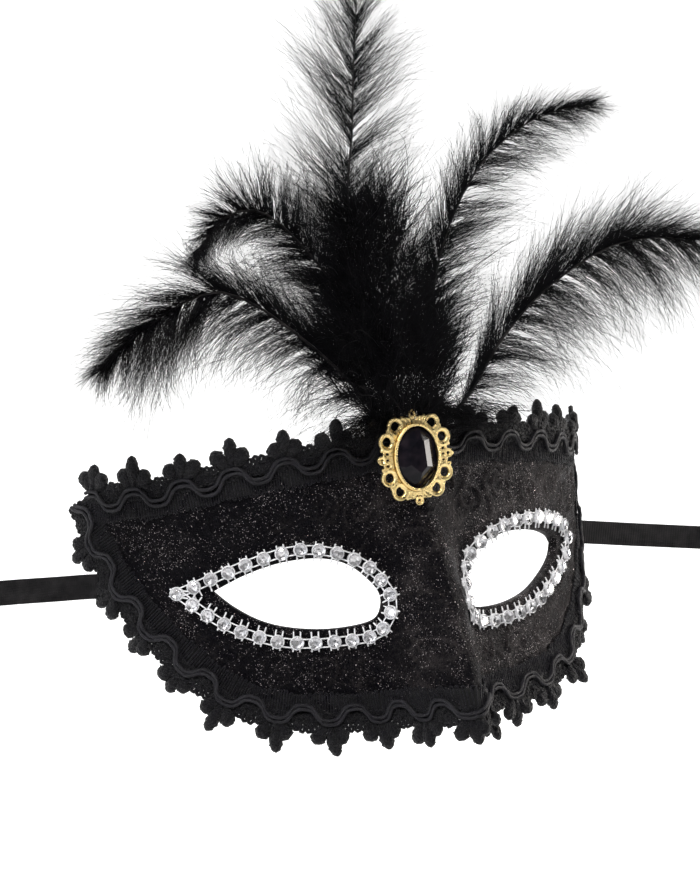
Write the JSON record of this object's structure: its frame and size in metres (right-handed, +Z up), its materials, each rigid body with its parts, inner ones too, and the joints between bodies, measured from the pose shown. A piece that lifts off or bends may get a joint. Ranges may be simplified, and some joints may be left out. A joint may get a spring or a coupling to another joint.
{
  "type": "venetian masquerade mask",
  "caption": "Half mask with lace cover, looped braid edge, stone chains round both eyes, filigree brooch, feather plume and side ribbons.",
  "frame": {"origin": "where the bridge of the wearer's nose rests in the mask, on the centre line and level with the outer eye corners", "axes": "+X to the viewer's right, -Y out of the mask's front, +Z up as worn"},
  "size_m": [0.245, 0.0795, 0.1959],
  "materials": {
    "shell_plastic": "thin moulded plastic, matt",
    "lace_fabric": "crinkled stretch lace with fine glitter, soft sheen",
    "lining_felt": "short felt pile",
    "braid_thread": "looped rayon thread",
    "cord_thread": "twisted rayon cord",
    "flower_thread": "crocheted thread",
    "setting_plastic": "white silvered plastic cups and rails",
    "clear_stone": "clear faceted stones with foil backs",
    "gold_metal": "bright gold plate on pressed metal",
    "black_stone": "black faceted, polished",
    "glue": "set hot glue",
    "quill": "smooth horny quill, dark",
    "feather": "soft dyed marabou barbs",
    "ribbon_satin": "woven satin ribbon with a fine selvedge",
    "felt_tab": "felt patch"
  },
  "bodies": {
    "root": {"shell": "shell_plastic", "fabric_cover": "lace_fabric", "lining": "lining_felt", "trim_top_braid": "braid_thread", "trim_top_cords": "cord_thread", "trim_top_flowers": "flower_thread", "trim_lower_braid": "braid_thread", "trim_lower_cords": "cord_thread", "trim_lower_flowers": "flower_thread", "eye_left_settings": "setting_plastic", "eye_left_stones": "clear_stone", "eye_right_settings": "setting_plastic", "eye_right_stones": "clear_stone", "brooch_frame": "gold_metal", "brooch_bezel": "gold_metal", "brooch_gem": "black_stone", "brooch_pad": "glue", "quill_low_left": "quill", "quill_high_left": "quill", "quill_centre": "quill", "quill_high_right": "quill", "quill_low_right": "quill", "vane_low_left": "feather", "vane_high_left": "feather", "vane_centre": "feather", "vane_high_right": "feather", "vane_low_right": "feather", "plume_down": "feather", "plume_binding": "cord_thread", "ribbon_left": "ribbon_satin", "ribbon_right": "ribbon_satin", "ribbon_loop_left": "ribbon_satin", "ribbon_loop_right": "ribbon_satin", "ribbon_tab_left": "felt_tab", "ribbon_tab_right": "felt_tab"}
  },
  "joints": []
}
